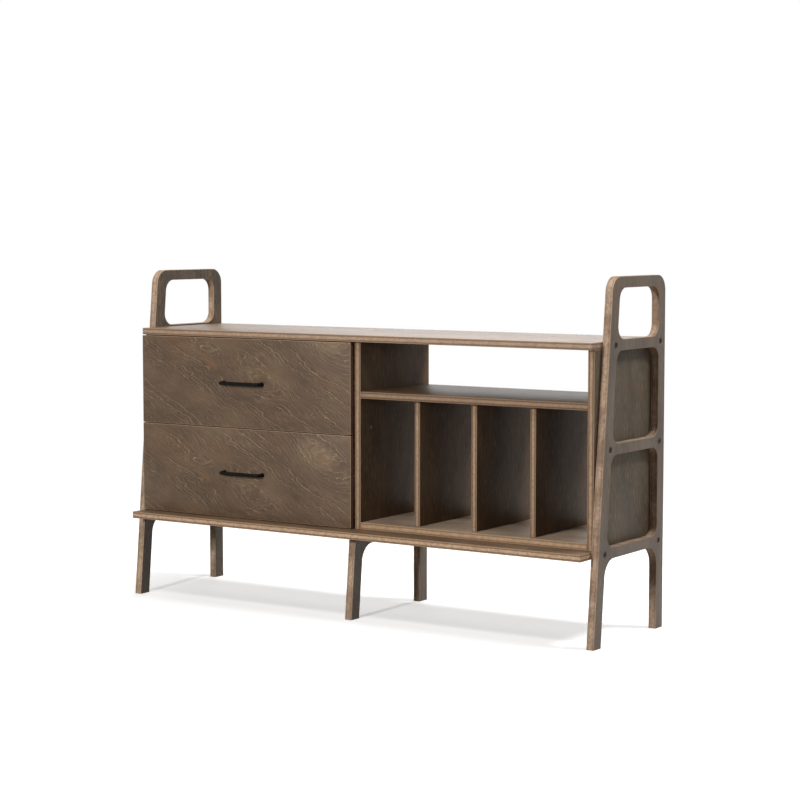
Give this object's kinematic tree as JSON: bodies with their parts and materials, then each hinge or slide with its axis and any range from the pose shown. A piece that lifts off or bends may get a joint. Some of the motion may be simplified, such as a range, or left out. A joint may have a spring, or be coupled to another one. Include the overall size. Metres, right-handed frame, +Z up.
{
  "type": "office credenza",
  "caption": "Low plywood credenza with leaning side frames, stacked drawers on one side, and an open shelf over upright record slots on the other.",
  "frame": {"origin": "centre of the overall box on the floor", "axes": "+X along the length to the right seen from the front, -Y to the front, +Z up"},
  "size_m": [1.446, 0.402, 0.9],
  "materials": {
    "stained_birch_ply": "walnut-stained rotary-cut birch plywood, satin lacquer",
    "clear_birch_ply": "clear-lacquered birch plywood",
    "black_steel": "satin black",
    "zinc_steel": "bright zinc plate",
    "cap_plastic": "moulded screw cap"
  },
  "bodies": {
    "cabinet": {"left_side_frame": "stained_birch_ply", "right_side_frame": "stained_birch_ply", "centre_leg_frame": "stained_birch_ply", "top_board": "stained_birch_ply", "base_board": "stained_birch_ply", "left_side_panel": "stained_birch_ply", "right_side_panel": "stained_birch_ply", "partition": "stained_birch_ply", "record_bay_floor": "stained_birch_ply", "open_shelf": "stained_birch_ply", "record_divider_1": "stained_birch_ply", "record_divider_2": "stained_birch_ply", "record_divider_3": "stained_birch_ply", "drawer_bay_back": "clear_birch_ply", "frame_bolt_left_upper_front": "black_steel", "frame_bolt_left_upper_back": "black_steel", "frame_bolt_left_middle_front": "black_steel", "frame_bolt_left_middle_back": "black_steel", "frame_bolt_left_lower_front": "black_steel", "frame_bolt_left_lower_back": "black_steel", "frame_bolt_right_upper_front": "black_steel", "frame_bolt_right_upper_back": "black_steel", "frame_bolt_right_middle_front": "black_steel", "frame_bolt_right_middle_back": "black_steel", "frame_bolt_right_lower_front": "black_steel", "frame_bolt_right_lower_back": "black_steel", "centre_leg_screw_1": "zinc_steel", "centre_leg_screw_2": "zinc_steel", "partition_screw_cap": "cap_plastic", "upper_slide_left_outer": "zinc_steel", "upper_slide_right_outer": "zinc_steel", "lower_slide_left_outer": "zinc_steel", "lower_slide_right_outer": "zinc_steel"},
    "upper_drawer": {"upper_drawer_front": "stained_birch_ply", "upper_drawer_box_left": "clear_birch_ply", "upper_drawer_box_right": "clear_birch_ply", "upper_drawer_subfront": "clear_birch_ply", "upper_drawer_box_back": "clear_birch_ply", "upper_drawer_bottom": "clear_birch_ply", "upper_drawer_handle": "black_steel", "upper_handle_screw_1": "zinc_steel", "upper_handle_screw_2": "zinc_steel", "upper_slide_left_inner": "zinc_steel", "upper_slide_right_inner": "zinc_steel"},
    "upper_slide_middle": {"upper_slide_left_middle": "zinc_steel", "upper_slide_right_middle": "zinc_steel"},
    "lower_drawer": {"lower_drawer_front": "stained_birch_ply", "lower_drawer_box_left": "clear_birch_ply", "lower_drawer_box_right": "clear_birch_ply", "lower_drawer_subfront": "clear_birch_ply", "lower_drawer_box_back": "clear_birch_ply", "lower_drawer_bottom": "clear_birch_ply", "lower_drawer_handle": "black_steel", "lower_handle_screw_1": "zinc_steel", "lower_handle_screw_2": "zinc_steel", "lower_slide_left_inner": "zinc_steel", "lower_slide_right_inner": "zinc_steel"},
    "lower_slide_middle": {"lower_slide_left_middle": "zinc_steel", "lower_slide_right_middle": "zinc_steel"}
  },
  "joints": [
    {"name": "upper_drawer_slide", "type": "slide", "parent": "cabinet", "child": "upper_drawer", "axis": [0, -1, 0], "range_m": [0, 0.29]},
    {"name": "upper_middle_slide", "type": "slide", "parent": "cabinet", "child": "upper_slide_middle", "axis": [0, -1, 0], "range_m": [0, 0.145]},
    {"name": "lower_drawer_slide", "type": "slide", "parent": "cabinet", "child": "lower_drawer", "axis": [0, -1, 0], "range_m": [0, 0.29]},
    {"name": "lower_middle_slide", "type": "slide", "parent": "cabinet", "child": "lower_slide_middle", "axis": [0, -1, 0], "range_m": [0, 0.145]}
  ],
  "couplings": [
    {"joint": "upper_middle_slide", "follows": "upper_drawer_slide", "ratio": 0.5},
    {"joint": "lower_middle_slide", "follows": "lower_drawer_slide", "ratio": 0.5}
  ]
}
